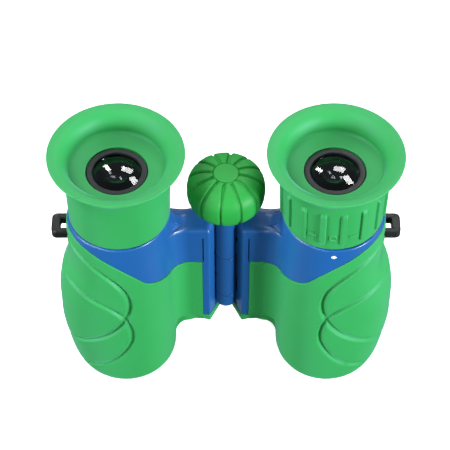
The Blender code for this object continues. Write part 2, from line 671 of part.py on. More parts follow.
def make_focus():
    """Focus knob with its cap and screw, and the lead screw under it."""
    axis = (0, HINGE_Y)
    middle = (KNOB_BOTTOM + KNOB_TOP) / 2
    half = KNOB_HEIGHT / 2
    power = KNOB_FULLNESS
    pocket = KNOB_CAP_RADIUS + GAP
    start = KNOB_RADIUS * 0.62
    outline = [(start, KNOB_BOTTOM)]
    for radius in np.array([0.8, 0.93]) * KNOB_RADIUS:
        outline.append((radius, middle - half * (1 - (radius / KNOB_RADIUS)**power)**(1 / power)))
    outline.append((KNOB_RADIUS, middle))
    for radius in np.array([0.93, 0.8, 0.6]) * KNOB_RADIUS:
        outline.append((radius, middle + half * (1 - (radius / KNOB_RADIUS)**power)**(1 / power)))
    floor = KNOB_TOP - KNOB_CAP_THICKNESS - 2.2
    bore = SCREW_RADIUS + GAP
    outline += [(pocket, KNOB_TOP - 0.2), (pocket, KNOB_TOP - KNOB_CAP_THICKNESS - GAP),
                (2.5, KNOB_TOP - KNOB_CAP_THICKNESS - GAP), (2.5, floor), (bore, floor),
                (bore, KNOB_BOTTOM)]
    turned("focus_knob", outline, axis, "green plastic", sides=28)
    cap_low = KNOB_TOP - KNOB_CAP_THICKNESS
    turned("knob_cap", [(KNOB_CAP_RADIUS, cap_low), (KNOB_CAP_RADIUS, KNOB_TOP - 0.3),
                        (KNOB_CAP_RADIUS - 0.3, KNOB_TOP)], axis, "green plastic", False, 24)
    head_top = cap_low - 2 * GAP
    shank_end = floor - 3.5
    turned("knob_screw", [(SCREW_RADIUS, shank_end), (SCREW_RADIUS, floor + GAP),
                          (2.1, floor + GAP), (2.1, head_top)], axis, "steel", False, 20)
    rod("lead_screw", SCREW_RADIUS, RIGHT_ARM_HEIGHT + 2 + FOCUS_TRAVEL + 0.5,
        shank_end - GAP, axis, "steel", 16)


def make_index_mark(housing):
    """White diamond let into the right housing, under the diopter marks."""
    height = BODY_HEIGHT - 2.8
    face = body_radius(np.array([-math.pi / 2]), np.array([height]))[0]
    centre = (HALF_SPACING, -face)
    for name, grow, deep in (("pocket", GAP, 0.9), ("diopter_index_mark", 0.0, 0.6)):
        wide, tall = 0.9 + 1.4 * grow, 0.6 + 1.4 * grow
        outline = [(-wide, height), (0, height - tall), (wide, height), (0, height + tall)]
        mark = extruded(name, outline, -3 * grow, deep, centre, "white paint")
        if grow:
            combine(housing, mark)


def build():
    """Make every sub-part and put each moving one's origin on its joint."""
    middle = (LOWER_SPLIT, UPPER_SPLIT)
    half = GAP / 2
    left_own = [(middle[0] + half, middle[1] - half)]
    left_other = [(WING_BOTTOM - 5, middle[0] + half), (middle[1] - half, BODY_HEIGHT + 20)]
    right_own = [(KNUCKLE_FOOT, middle[0] - half), (middle[1] + half, KNUCKLE_TOP)]
    right_other = [(middle[0] - half, middle[1] + half), (WING_BOTTOM - 5, KNUCKLE_FOOT)]
    halves = (("left_", -1, left_own, left_other, LEFT_ARM_HEIGHT),
              ("right_", 1, right_own, right_other, RIGHT_ARM_HEIGHT))
    for prefix, side, own, other, arm_height in halves:
        housing = make_housing(prefix, side, own, other, arm_height)
        make_armor(prefix, side)
        make_lug(prefix, side)
        make_prisms(prefix, side)
        make_objective(prefix, side, arm_height)
        make_eyepiece(prefix, side)
    make_index_mark(housing)
    make_eyecup("left_eyecup", -1, False)
    make_eyecup("diopter_ring", 1, True)
    make_hinge_parts()
    make_carriage()
    make_focus()
    for made in bpy.data.objects:
        on_right = made.name.startswith(("right_eyepiece", "right_field", "right_lens",
                                         "right_eye", "diopter_ring"))
        if on_right:
            set_origin(made, HALF_SPACING, 0, BODY_HEIGHT)
        elif made.name.startswith(("right_", "focus_", "knob_", "lead_", "diopter_index")):
            set_origin(made, 0, HINGE_Y, BODY_HEIGHT)


for old in list(bpy.data.objects):
    bpy.data.objects.remove(old)
build()
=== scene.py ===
"""Visual model of a child's folding roof-prism binoculars, standing on its objective ends.

Lengths are in millimetres until a mesh is written in metres.  Z is up, the left barrel is at -X, and the
side that the barrels fold towards faces -Y.
"""
import json
import math

import bpy
import numpy as np
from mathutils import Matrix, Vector

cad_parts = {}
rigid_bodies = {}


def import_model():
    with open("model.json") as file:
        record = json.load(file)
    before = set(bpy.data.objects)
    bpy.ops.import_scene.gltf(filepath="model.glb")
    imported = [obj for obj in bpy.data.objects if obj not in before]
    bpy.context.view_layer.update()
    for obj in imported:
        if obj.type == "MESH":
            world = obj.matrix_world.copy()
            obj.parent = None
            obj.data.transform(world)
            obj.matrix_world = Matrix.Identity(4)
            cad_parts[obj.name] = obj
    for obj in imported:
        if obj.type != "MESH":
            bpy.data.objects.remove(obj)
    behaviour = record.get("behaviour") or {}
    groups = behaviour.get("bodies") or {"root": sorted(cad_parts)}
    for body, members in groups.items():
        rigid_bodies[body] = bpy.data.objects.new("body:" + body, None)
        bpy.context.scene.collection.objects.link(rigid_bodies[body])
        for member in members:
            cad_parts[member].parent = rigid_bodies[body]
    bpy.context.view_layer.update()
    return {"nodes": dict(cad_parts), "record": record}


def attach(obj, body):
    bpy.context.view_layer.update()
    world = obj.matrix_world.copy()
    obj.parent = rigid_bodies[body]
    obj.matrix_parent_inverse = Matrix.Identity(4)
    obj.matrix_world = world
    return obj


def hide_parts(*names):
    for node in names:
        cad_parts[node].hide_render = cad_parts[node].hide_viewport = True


for leftover in list(bpy.data.objects):
    bpy.data.objects.remove(leftover)
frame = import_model()
MM = 0.001

# ---------------------------------------------------------------- studio and camera
# The binoculars stand on a white sweep under soft boxes, with the strongest one low on the right, and a
# long lens looks down on them from the side that they fold towards.
CAMERA_DISTANCE = 626.2
CAMERA_TILT = math.radians(50.65)
CAMERA_LENS = 152.0
AIM = Vector((-0.32, 0.0, 63.6))

scene = bpy.context.scene
scene.view_settings.view_transform = "Standard"
camera_data = bpy.data.cameras.new("camera")
camera_data.lens = CAMERA_LENS
camera_data.sensor_width = 36.0
camera_data.clip_start = 0.01
camera = bpy.data.objects.new("camera", camera_data)
scene.collection.objects.link(camera)
back_off = Vector((0.0, -math.cos(CAMERA_TILT), math.sin(CAMERA_TILT)))
camera.location = (AIM + back_off * CAMERA_DISTANCE) * MM
camera.rotation_euler = (math.pi / 2 - CAMERA_TILT, 0.0, 0.0)
scene.camera = camera


def soft_box(name, place, aim, width, height, watts, colour=(1.0, 1.0, 1.0)):
    """Area light of width by height metres at place, turned to face aim."""
    data = bpy.data.lights.new(name, "AREA")
    data.shape = "RECTANGLE"
    data.size = width
    data.size_y = height
    data.energy = watts
    data.color = colour
    light = bpy.data.objects.new(name, data)
    light.location = place
    light.rotation_euler = (Vector(aim) - Vector(place)).to_track_quat("-Z", "Y").to_euler()
    scene.collection.objects.link(light)


BLUISH = (0.85, 0.93, 1.0)
BODY_AIM = (0.0, 0.0, 0.05)
CUP_AIM = (0.0, 0.0, 0.09)
soft_box("right box", (0.86, -0.58, 0.27), BODY_AIM, 0.24, 0.24, 24.0, BLUISH)
soft_box("front fill", (-0.38, -0.95, 0.36), BODY_AIM, 0.30, 0.30, 4.0)
soft_box("left box", (-0.92, -0.34, 0.22), BODY_AIM, 0.28, 0.28, 11.0, BLUISH)
soft_box("top left box", (-0.55, -0.16, 0.95), BODY_AIM, 0.35, 0.30, 9.0)
soft_box("top right box", (0.50, 0.34, 1.00), CUP_AIM, 0.34, 0.24, 4.5)
soft_box("back right box", (0.20, 0.66, 0.80), CUP_AIM, 0.30, 0.24, 3.0)
soft_box("back left strip", (-0.34, 0.73, 0.70), CUP_AIM, 0.10, 0.36, 2.5)

# The sky glows most below and at the horizon, and it is dimmed on the camera's side.
world = bpy.data.worlds.new("studio")
world.use_nodes = True
sky = world.node_tree.nodes["Background"]
sky.inputs["Color"].default_value = (0.76, 0.91, 1.0, 1.0)
heading = world.node_tree.nodes.new("ShaderNodeTexCoord")
split = world.node_tree.nodes.new("ShaderNodeSeparateXYZ")
level = world.node_tree.nodes.new("ShaderNodeMapRange")
level.inputs["From Min"].default_value = -1.0
fade = world.node_tree.nodes.new("ShaderNodeValToRGB")
for place, strength in ((0.30, 0.40), (0.50, 0.34), (0.60, 0.20), (0.95, 0.22)):
    stop = fade.color_ramp.elements.new(place)
    stop.color = (strength, strength, strength, 1.0)
fade.color_ramp.elements.remove(fade.color_ramp.elements[0])
fade.color_ramp.elements.remove(fade.color_ramp.elements[-1])
world.node_tree.links.new(heading.outputs["Generated"], split.inputs["Vector"])
world.node_tree.links.new(split.outputs["Z"], level.inputs["Value"])
world.node_tree.links.new(level.outputs["Result"], fade.inputs["Fac"])
front = world.node_tree.nodes.new("ShaderNodeMapRange")
front.inputs["From Min"].default_value = -0.7
front.inputs["From Max"].default_value = 0.3
front.inputs["To Min"].default_value = 0.18
shade = world.node_tree.nodes.new("ShaderNodeMath")
shade.operation = "MULTIPLY"
world.node_tree.links.new(split.outputs["Y"], front.inputs["Value"])
world.node_tree.links.new(fade.outputs["Color"], shade.inputs[0])
world.node_tree.links.new(front.outputs["Result"], shade.inputs[1])
world.node_tree.links.new(shade.outputs[0], sky.inputs["Strength"])
scene.world = world

FLOOR_HALF = 6.0
floor_corners = [(FLOOR_HALF * x, FLOOR_HALF * y, 0) for x, y in ((-1, -1), (1, -1), (1, 1), (-1, 1))]
floor_mesh = bpy.data.meshes.new("floor")
floor_mesh.from_pydata(floor_corners, [], [(0, 1, 2, 3)])
floor = bpy.data.objects.new("floor", floor_mesh)
scene.collection.objects.link(floor)
floor_paper = bpy.data.materials.new("white paper")
floor_paper.use_nodes = True
paper_shader = floor_paper.node_tree.nodes["Principled BSDF"]
paper_shader.inputs["Base Color"].default_value = (0.8, 0.8, 0.8, 1.0)
paper_shader.inputs["Emission Color"].default_value = (1.0, 1.0, 1.0, 1.0)
paper_shader.inputs["Emission Strength"].default_value = 0.55
paper_shader.inputs["Roughness"].default_value = 0.9
floor_mesh.materials.append(floor_paper)
floor.visible_glossy = False
floor.visible_diffuse = False

# ---------------------------------------------------------------- rubber armour
# Each barrel's grip is a bright green thermoplastic rubber skin, moulded over the housing.  It is satin,
# with a fine spark-eroded grain, and two swept grooves cross on its front and its back.
HALF_SPACING = 34.8
SHOULDER = 71.0
FRONT_RADIUS = 17.3
GRIP_BULGE = 3.4
ARMOR = 1.5
HINGE_Y = 3.0
WING_HALF = 5.2
WING_BOTTOM = 14.5
WING_ARCH = 8.0
WING_CORNER = 0.7
WING_FILLET = 7.0
WING_EDGE = 0.9
END_FRONT = 5.4
END_BACK = 0.3
RAIL_EDGE = 7.9
RAIL_BOTTOM = 16.8
BRIDGE_SEAM = 46.3
OBJECTIVE_OPENING = 13.45


def moulded_skin():
    """Group: fine moulded grain.

    Colour is the given one, made a little lighter and darker in soft patches.  Height is a spark-eroded
    grain of two noises, and Roughness wanders with the patches round the given value.
    """
    group = bpy.data.node_groups.new("moulded skin", "ShaderNodeTree")
    for label, kind, value in (("Colour", "NodeSocketColor", (0.5, 0.5, 0.5, 1.0)),
                               ("Patchiness", "NodeSocketFloat", 0.06),
                               ("Roughness", "NodeSocketFloat", 0.45),
                               ("Grain size", "NodeSocketFloat", 0.3)):
        socket = group.interface.new_socket(label, in_out="INPUT", socket_type=kind)
        socket.default_value = value
    group.interface.new_socket("Colour", in_out="OUTPUT", socket_type="NodeSocketColor")
    group.interface.new_socket("Roughness", in_out="OUTPUT", socket_type="NodeSocketFloat")
    group.interface.new_socket("Height", in_out="OUTPUT", socket_type="NodeSocketFloat")
    nodes, links = group.nodes, group.links
    inputs = nodes.new("NodeGroupInput")
    outputs = nodes.new("NodeGroupOutput")
    place = nodes.new("ShaderNodeTexCoord")
    patches = nodes.new("ShaderNodeTexNoise")
    patches.inputs["Scale"].default_value = 90.0
    patches.inputs["Detail"].default_value = 3.0
    links.new(place.outputs["Object"], patches.inputs["Vector"])
    spread = nodes.new("ShaderNodeMath")
    spread.operation = "SUBTRACT"
    spread.inputs[1].default_value = 0.5
    links.new(patches.outputs["Fac"], spread.inputs[0])
    amount = nodes.new("ShaderNodeMath")
    amount.operation = "MULTIPLY_ADD"
    amount.inputs[2].default_value = 1.0
    links.new(spread.outputs[0], amount.inputs[0])
    links.new(inputs.outputs["Patchiness"], amount.inputs[1])
    tint = nodes.new("ShaderNodeVectorMath")
    tint.operation = "SCALE"
    links.new(inputs.outputs["Colour"], tint.inputs[0])
    links.new(amount.outputs[0], tint.inputs["Scale"])
    links.new(tint.outputs["Vector"], outputs.inputs["Colour"])
    sheen = nodes.new("ShaderNodeMath")
    sheen.operation = "MULTIPLY_ADD"
    sheen.inputs[1].default_value = 0.18
    links.new(spread.outputs[0], sheen.inputs[0])
    links.new(inputs.outputs["Roughness"], sheen.inputs[2])
    links.new(sheen.outputs[0], outputs.inputs["Roughness"])
    pitch = nodes.new("ShaderNodeMath")
    pitch.operation = "DIVIDE"
    pitch.inputs[0].default_value = 1000.0
    links.new(inputs.outputs["Grain size"], pitch.inputs[1])
    grain = nodes.new("ShaderNodeTexNoise")
    grain.inputs["Detail"].default_value = 4.0
    grain.inputs["Roughness"].default_value = 0.7
    links.new(place.outputs["Object"], grain.inputs["Vector"])
    links.new(pitch.outputs[0], grain.inputs["Scale"])
    links.new(grain.outputs["Fac"], outputs.inputs["Height"])
    return group


SKIN = moulded_skin()


def moulded(name, colour, roughness, grain_mm, depth_mm, patchiness=0.06, gloss=0.3, sheen=0.0,
            cast=(1.0, 1.0, 1.0)):
    """Moulded rubber or plastic of one colour, with its grain as bump."""
    made = bpy.data.materials.new(name)
    made.use_nodes = True
    nodes, links = made.node_tree.nodes, made.node_tree.links
    shader = nodes["Principled BSDF"]
    skin = nodes.new("ShaderNodeGroup")
    skin.node_tree = SKIN
    skin.inputs["Colour"].default_value = (*colour, 1.0)
    skin.inputs["Roughness"].default_value = roughness
    skin.inputs["Patchiness"].default_value = patchiness
    skin.inputs["Grain size"].default_value = grain_mm
    bump = nodes.new("ShaderNodeBump")
    bump.inputs["Strength"].default_value = 0.6
    bump.inputs["Distance"].default_value = depth_mm * MM
    links.new(skin.outputs["Colour"], shader.inputs["Base Color"])
    links.new(skin.outputs["Roughness"], shader.inputs["Roughness"])
    links.new(skin.outputs["Height"], bump.inputs["Height"])
    links.new(bump.outputs["Normal"], shader.inputs["Normal"])
    shader.inputs["Specular IOR Level"].default_value = gloss
    shader.inputs["Specular Tint"].default_value = (*cast, 1.0)
    shader.inputs["Sheen Weight"].default_value = sheen
    shader.inputs["Sheen Roughness"].default_value = 0.35
    shader.inputs["Sheen Tint"].default_value = (0.45, 0.75, 1.0, 1.0)
    return made


def close_rings(name, rings, material, hollow=True, sharp=38.0):
    """Mesh object from closed rings of points, an array (ring, point, xyz) in millimetres.

    Each ring is sewn to the next.  A hollow piece sews the last ring to the first, and a solid one gets a
    flat fan at each end.  The faces are turned so that the volume they enclose is positive.
    """
    rings = np.asarray(rings, float)
    count, around = rings.shape[:2]
    points = rings.reshape(-1, 3)
    ring = np.arange(count if hollow else count - 1)[:, None] * around
    following = (ring + around) % (count * around)
    step = np.arange(around)[None, :]
    beside = (step + 1) % around
    quads = np.stack([ring + step, ring + beside, following + beside, following + step], axis=-1)
    quads = quads.reshape(-1, 4)
    triangles = np.empty((0, 3), int)
    if not hollow:
        ends = np.stack([rings[0].mean(axis=0), rings[-1].mean(axis=0)])
        low, high = len(points), len(points) + 1
        points = np.concatenate([points, ends])
        here, there = np.arange(around), (np.arange(around) + 1) % around
        top = (count - 1) * around
        triangles = np.concatenate([np.stack([there, here, np.full(around, low)], axis=-1),
                                    np.stack([top + here, top + there, np.full(around, high)], axis=-1)])
    split = np.concatenate([quads[:, [0, 1, 2]], quads[:, [0, 2, 3]], triangles])
    corner = points[split]
    volume = np.einsum("ij,ij->i", corner[:, 0], np.cross(corner[:, 1], corner[:, 2])).sum()
    if volume < 0:
        quads, triangles = quads[:, ::-1], triangles[:, ::-1]
    loops = np.concatenate([quads.ravel(), triangles.ravel()])
    sizes = np.concatenate([np.full(len(quads), 4), np.full(len(triangles), 3)])
    starts = np.concatenate([[0], np.cumsum(sizes)[:-1]])
    mesh = bpy.data.meshes.new(name)
    mesh.vertices.add(len(points))
    mesh.vertices.foreach_set("co", (points * MM).ravel())
    mesh.loops.add(len(loops))
    mesh.loops.foreach_set("vertex_index", loops)
    mesh.polygons.add(len(sizes))
    mesh.polygons.foreach_set("loop_start", starts)
    mesh.update(calc_edges=True)
    mesh.validate()
    mesh.shade_smooth()
    mesh.set_sharp_from_angle(angle=math.radians(sharp))
    mesh.materials.append(material)
    made = bpy.data.objects.new(name, mesh)
    scene.collection.objects.link(made)
    return made


def smooth_curve(knots, at):
    """Cubic through (position, value) knots that never overshoots them."""
    x, y = np.array(knots, float).T
    steps = np.diff(y) / np.diff(x)
    product = steps[:-1] * steps[1:]
    inner = np.where(product > 0, 2 * product / (steps[:-1] + steps[1:] + 1e-12), 0.0)
    slopes = np.concatenate([[steps[0]], inner, [steps[-1]]])
    at = np.clip(np.asarray(at, float), x[0], x[-1])
    index = np.clip(np.searchsorted(x, at, side="right") - 1, 0, len(x) - 2)
    width = x[index + 1] - x[index]
    t = (at - x[index]) / width
    rise = y[index + 1] - y[index]
    start, finish = slopes[index] * width, slopes[index + 1] * width
    return y[index] + t * start + t**2 * (3 * rise - 2 * start - finish) \
        + t**3 * (start + finish - 2 * rise)


def smooth_step(value):
    """Ease from 0 to 1."""
    value = np.clip(value, 0, 1)
    return value * value * (3 - 2 * value)


def body_radius(angle, height):
    """Radius of a barrel's body about its optical axis.

    Angle 0 faces the bridge, 90 degrees the back, 180 the outer grip and -90 the front.  The radius is a
    front radius that varies in height, plus a swell that grows with the outward part of the angle.
    """
    share = np.clip(height / SHOULDER, 0, 1)
    front = FRONT_RADIUS + smooth_curve([(0, 0.65), (0.3, 1.15), (0.65, 1.1), (1, 0)], share)
    swell = smooth_curve([(0, -0.1), (0.06, 0.35), (0.14, 0.6), (0.3, 0.96), (0.46, 0.97),
                          (0.62, 0.58), (0.76, -0.2), (0.9, 0.05), (1, 0)], share)
    outward = np.clip(-np.cos(angle), 0, 1) ** 2.7
    inward = np.clip(np.cos(angle), 0, 1) ** 1.6
    return front + GRIP_BULGE * swell * outward - 0.8 * inward


def wing_path(inset, edges):
    """Outline of the bridge wing, from the body round its slanted end and back, as (x, y) points.

    Straight runs along the front face, the end and the back face meet in arcs.  edges are the x values
    that the faces need points at, besides even ones, and the tip pushes aside the points it passes.
    """
    slope = (END_FRONT - END_BACK) / (2 * WING_HALF)
    lean = math.hypot(1, slope)
    front, back = HINGE_Y - WING_HALF + inset, HINGE_Y + WING_HALF - inset
    shoulder = HALF_SPACING - FRONT_RADIUS
    turn_front = math.pi / 2 - math.atan(slope)
    turn_back = math.pi - turn_front

    def end_x(y):
        return END_BACK + slope * (HINGE_Y + WING_HALF - y) + inset * lean

    def arc(y, inward, turn):
        setback = WING_CORNER * math.tan(turn / 2)
        at = np.linspace(0, turn, 7)
        x = end_x(y) + setback - WING_CORNER * np.sin(at)
        return np.stack([x, y + inward * WING_CORNER * (1 - np.cos(at))], axis=1), end_x(y) + setback

    def face(y, lowest, tip, count):
        x = np.unique(np.concatenate([np.linspace(lowest, shoulder, count), edges]))
        x = np.maximum(x, tip + 0.03 * (1 + np.arange(len(x))))
        return np.stack([x, np.full(len(x), y)], axis=1)

    front_arc, front_tip = arc(front, 1, turn_front)
    back_arc, back_tip = arc(back, -1, turn_back)
    slant = np.linspace(front + WING_CORNER * 0.8, back - WING_CORNER * 1.7, 26)
    return np.concatenate([face(front, 7.0, front_tip, 30)[::-1], front_arc,
                           np.stack([end_x(slant), slant], axis=1), back_arc[::-1],
                           face(back, 1.6, back_tip, 40)])


ROUND_COLUMNS = 320
OFF_WING = 99.0            # x given to the round body's columns, past every test for the wing


def columns(inset, edges):
    """Angle, reach and x of every column of the outline: the wing's points, then the round body's."""
    points = wing_path(inset, edges)
    from_axis = HALF_SPACING - points[:, 0]
    angle = np.arctan2(points[:, 1], from_axis)
    reach = np.hypot(points[:, 1], from_axis)
    first = math.atan2(HINGE_Y + WING_HALF, FRONT_RADIUS) + 0.02
    last = math.tau + math.atan2(HINGE_Y - WING_HALF, FRONT_RADIUS) - 0.02
    around = np.linspace(first, last, ROUND_COLUMNS)
    return (np.concatenate([angle, around]), np.concatenate([reach, np.zeros(ROUND_COLUMNS)]),
            np.concatenate([points[:, 0], np.full(ROUND_COLUMNS, OFF_WING)]))


def filleted(angle, body, reach, inset):
    """Radius of body and wing together, with a concave fillet between them.

    The fillet is a circle that touches the body's circle and the flat face of the wing, front or back.
    """
    sine, cosine = np.abs(np.sin(angle)), np.cos(angle)
    face = WING_HALF + np.sign(np.sin(angle)) * HINGE_Y - inset
    radius = WING_FILLET + inset
    rise = face + radius
    run = np.sqrt((body + radius)**2 - rise**2)
    near = run * cosine + rise * sine
    beyond = np.sqrt(np.clip(near**2 - run**2 - rise**2 + radius**2, 0, None))
    on_arc = (cosine > 0) & (sine * run > face * cosine) & (sine * run < rise * cosine)
    return np.where(on_arc, near - beyond, np.maximum(body, reach))


def outline(edges, inset, height, extent, bevel=0.0, dent=0.0):
    """One ring of the body-and-wing outline of a right-hand half.

    extent lets the wing out from 0 to 1, bevel insets only the wing, and dent sinks the surface.
    """
    angle, reach = columns(inset + bevel, edges)[:2]
    height = np.broadcast_to(np.asarray(height, float), angle.shape)
    body = body_radius(angle, height) - inset
    radius = body + extent * (filleted(angle, body, reach, inset + bevel) - body) - dent
    return np.stack([HALF_SPACING - radius * np.cos(angle), radius * np.sin(angle), height], axis=1)


def seam(edges, inset, shift=0.0):
    """Height of the line where the armour ends, for each column of the outline."""
    angle, reach, across = columns(inset, edges)
    away = np.degrees(np.abs(np.arctan2(np.sin(angle), np.cos(angle))))
    knots = [(20, SHOULDER - BRIDGE_SEAM), (45, 21.6), (60, 19.0), (75, 13.6), (90, 9.2),
             (105, 6.2), (125, 3.6), (150, 2.4), (180, 2.4)]
    line = SHOULDER - smooth_curve(knots, away)
    line = np.where(reach > 0, BRIDGE_SEAM, line)
    return np.where(across < RAIL_EDGE + shift, RAIL_BOTTOM, line)


def round_ring(edges, inset, radius, height):
    """Level circle about the optical axis whose points face the outline's columns."""
    angle = columns(inset, edges)[0]
    x = HALF_SPACING - radius * np.cos(angle)
    return np.stack([x, radius * np.sin(angle), np.full(len(angle), float(height))], axis=1)


def spline(knots, samples):
    """Points of a Catmull-Rom curve through the knots."""
    knots = np.array(knots, float)
    knots = np.concatenate([[2 * knots[0] - knots[1]], knots, [2 * knots[-1] - knots[-2]]])
    t = np.linspace(0, 1, samples, endpoint=False)[:, None]
    runs = [0.5 * (2 * b + (c - a) * t + (2 * a - 5 * b + 4 * c - d) * t**2
                   + (3 * b - a - 3 * c + d) * t**3)
            for a, b, c, d in zip(knots, knots[1:], knots[2:], knots[3:])]
    return np.concatenate(runs)


# Swept grooves, as (degrees outward from the front, height): each starts thin high on the outer side,
# swings to the front and runs down and out again, and the two cross in front.
UPPER_GROOVE = [(78, 64.2), (48, 62.4), (19, 58.6), (-2, 51.6), (-8.8, 43.2), (-3.4, 35.3),
                (11, 27.8), (38, 20.2), (84, 10.0)]
LOWER_GROOVE = [(98, 45.6), (56, 45.2), (29, 43.0), (10, 40.3), (-3.4, 35.3), (-9.6, 27.0),
                (-5, 19.6), (13, 11.0), (46, 3.6)]
GROOVE_DEPTH = 1.15
GROOVE_WIDTH = 0.85
GROOVE_WALL = 1.2


def groove_dent(angle, height):
    """Depth of the two grooves at each point of the grip.

    The dent is a channel with steep eased walls about the groove's line, wide and deep in the middle of
    its length and thin at both ends.
    """
    outward = np.degrees(np.abs(np.arctan2(np.sin(angle), np.cos(angle)))) - 90
    grip_radius = FRONT_RADIUS + 1.5
    across = np.radians(outward) * grip_radius
    dent = np.zeros(np.shape(angle))
    for knots in (UPPER_GROOVE, LOWER_GROOVE):
        line = spline(knots, 24)
        share = np.linspace(0, 1, len(line))
        line_across = np.radians(line[:, 0]) * grip_radius
        gap = np.hypot(across[..., None] - line_across, height[..., None] - line[:, 1])
        nearest = gap.argmin(axis=-1)
        distance = np.take_along_axis(gap, nearest[..., None], axis=-1)[..., 0]
        fullness = np.sin(np.pi * np.clip(share[nearest] * 0.92 + 0.03, 0, 1)) ** 0.7
        width = GROOVE_WIDTH * (0.35 + 0.65 * fullness)
        depth = GROOVE_DEPTH * (0.25 + 0.75 * fullness)
        dent = np.maximum(dent, depth * smooth_step((width - distance) / GROOVE_WALL + 0.5))
    return dent


def arch_lift(across):
    """Rise of the wing's underside to its middle, and its dip at the slanted tip."""
    rise = smooth_step((np.minimum(across, 30.0) - END_FRONT) / 6.5)
    dip = smooth_step((10.5 - across) / 5.0)
    return 2.0 * rise - 0.9 * dip


def wing_rows(inset, fine):
    """Rows of the body up to the wing's underside, as (height, wing extent, body inset, wing inset).

    The foot is rounded, the arch swells the wing out along a quarter circle, and the wing's underside is
    level, with a rounded edge.
    """
    foot = 2.0
    turns = np.linspace(0, math.pi / 2, 7 if fine else 2)
    rows = [(foot * (1 - math.cos(t)), 0.0, foot * 0.33 * (1 - math.sin(t)), 0.0) for t in turns]
    if not fine:
        rows = [(inset, 0.0, 0.0, 0.0)]
    rows += [(z, 0.0, 0.0, 0.0) for z in np.linspace(foot, WING_BOTTOM - WING_ARCH + inset,
                                                     12 if fine else 2)[1:]]
    under = WING_BOTTOM + inset
    for t in np.linspace(0.12, 1, 14 if fine else 4):
        rows.append((under - WING_ARCH * (1 - t), 0.42 * (1 - math.sqrt(1 - t * t)), 0.0, 0.0))
    for part in (0.6, 0.8, 0.94):
        rows.append((under, part, 0.0, WING_EDGE))
    for t in np.linspace(0, math.pi / 2, 5 if fine else 2):
        rows.append((under + WING_EDGE * (1 - math.cos(t)), 1.0, 0.0, WING_EDGE * (1 - math.sin(t))))
    return rows


def make_armor(prefix, side, material):
    """Rubber skin of one barrel: outer face with its grooves, rounded lip, inner face.

    Rings climb the outline from the objective opening to the seam, turn over the lip in a quarter circle,
    and go down again one skin thickness further in.
    """
    edges = [RAIL_EDGE + 0.06, RAIL_EDGE - 0.06, RAIL_EDGE + 0.5]
    angle, reach, across = columns(0.0, edges)
    top = seam(edges, 0.0)
    lip = 0.3
    rings = [round_ring(edges, 0.0, OBJECTIVE_OPENING, 0.35),
             round_ring(edges, 0.0, OBJECTIVE_OPENING + 0.4, 0.0)]
    heights = []
    settings = []
    for order, (height, extent, inset, bevel) in enumerate(wing_rows(0.0, True)):
        near_wing = smooth_step((height - 3.0) / 8.0) * arch_lift(across)
        level = height + near_wing + np.where(reach > 0, 0, 0.02 * max(0, order - 30))
        heights.append(np.broadcast_to(level, angle.shape))
        settings.append((extent, inset, bevel))
    start = heights[-1] + 0.02
    for part in np.linspace(0, 1, 178)[1:]:
        heights.append(start + (top - lip - start) * part)
        settings.append((1.0, 0.0, 0.0))
    for turn in np.linspace(0, math.pi / 2, 5)[1:]:
        heights.append(top - lip + lip * math.sin(turn))
        settings.append((1.0, lip * (1 - math.cos(turn)), 0.0))
    heights = np.array(heights)
    on_body = np.where(reach > 0, 0.0, 1.0)
    fade = np.clip((top - 0.7 - heights) / 1.5, 0, 1) * np.clip(heights / 2.5, 0, 1)
    dents = groove_dent(np.broadcast_to(angle, heights.shape), heights) * on_body * fade
    for height, (extent, inset, bevel), dent in zip(heights, settings, dents):
        rings.append(outline(edges, inset, height, extent, bevel, dent))
    inner = ARMOR
    under = WING_BOTTOM + inner
    for part in (1.0, 0.66, 0.33, 0.05):
        rings.append(outline(edges, inner, under + WING_EDGE + (top - under - WING_EDGE) * part, 1.0))
    for height, extent, inset, bevel in reversed(wing_rows(inner, False)):
        rings.append(outline(edges, inner + inset, height, extent, bevel))
    rings.append(round_ring(edges, inner, OBJECTIVE_OPENING, inner))
    rings = np.array(rings)
    rings[:, :, 0] *= side
    return close_rings(prefix + "grip_rubber", rings, material)


GREEN_RUBBER = moulded("green rubber", (0.018, 0.25, 0.048), 0.58, 0.22, 0.012, 0.05, 0.5, 0.3,
                       (0.60, 0.65, 1.0))
for prefix, side, body in (("left_", -1, "left_barrel"), ("right_", 1, "right_barrel")):
    armor = make_armor(prefix, side, GREEN_RUBBER)
    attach(armor, body)
    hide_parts(prefix + "armor")

# ---------------------------------------------------------------- housings and bridge
# The housings are injection-moulded in blue ABS, smooth and a little glossy.  Each runs into a bridge
# wing that ends in a bare rail with a slanted end, beside the knuckles of the hinge.
BLUE_INSET = 0.22
HOUSING_COVER = 2.05
WING_TOP = 63.0
TOP_EDGE = 1.9
SLOT_LOW, SLOT_HIGH = 46.6, 58.8
SLOT_DEPTH = 0.9
ROW_STEP = 0.004           # least rise from one row to the next, where rows are held up by the seam
SEAT_RADIUS = 12.75
BORE_RADIUS = 13.2
DECK_TOP, DECK_BOTTOM = 62.3, 60.3
RELIEF = 4.1
LOWER_SPLIT = 25.5
UPPER_SPLIT = 45.8
KNUCKLE_RADIUS = 3.6
KNUCKLE_FOOT = 19.8
KNUCKLE_TOP = 70.0
KNUCKLE_BORE = 2.9
BLUE_PLASTIC = moulded("blue plastic", (0.008, 0.075, 0.24), 0.34, 0.16, 0.006, 0.05, gloss=0.5)


def relieve(ring, zones):
    """Push the slanted end clear of the other half's knuckles, a cylinder about the hinge axis."""
    radius = np.hypot(ring[:, 0], ring[:, 1] - HINGE_Y)
    inside = np.zeros(len(ring), bool)
    for low, high in zones:
        inside |= (ring[:, 2] > low) & (ring[:, 2] < high)
    clear = np.sqrt(np.clip(RELIEF**2 - (ring[:, 1] - HINGE_Y)**2, 0, None))
    push = inside & (radius < RELIEF)
    ring[:, 0] = np.where(push, np.maximum(ring[:, 0], clear), ring[:, 0])
    return ring


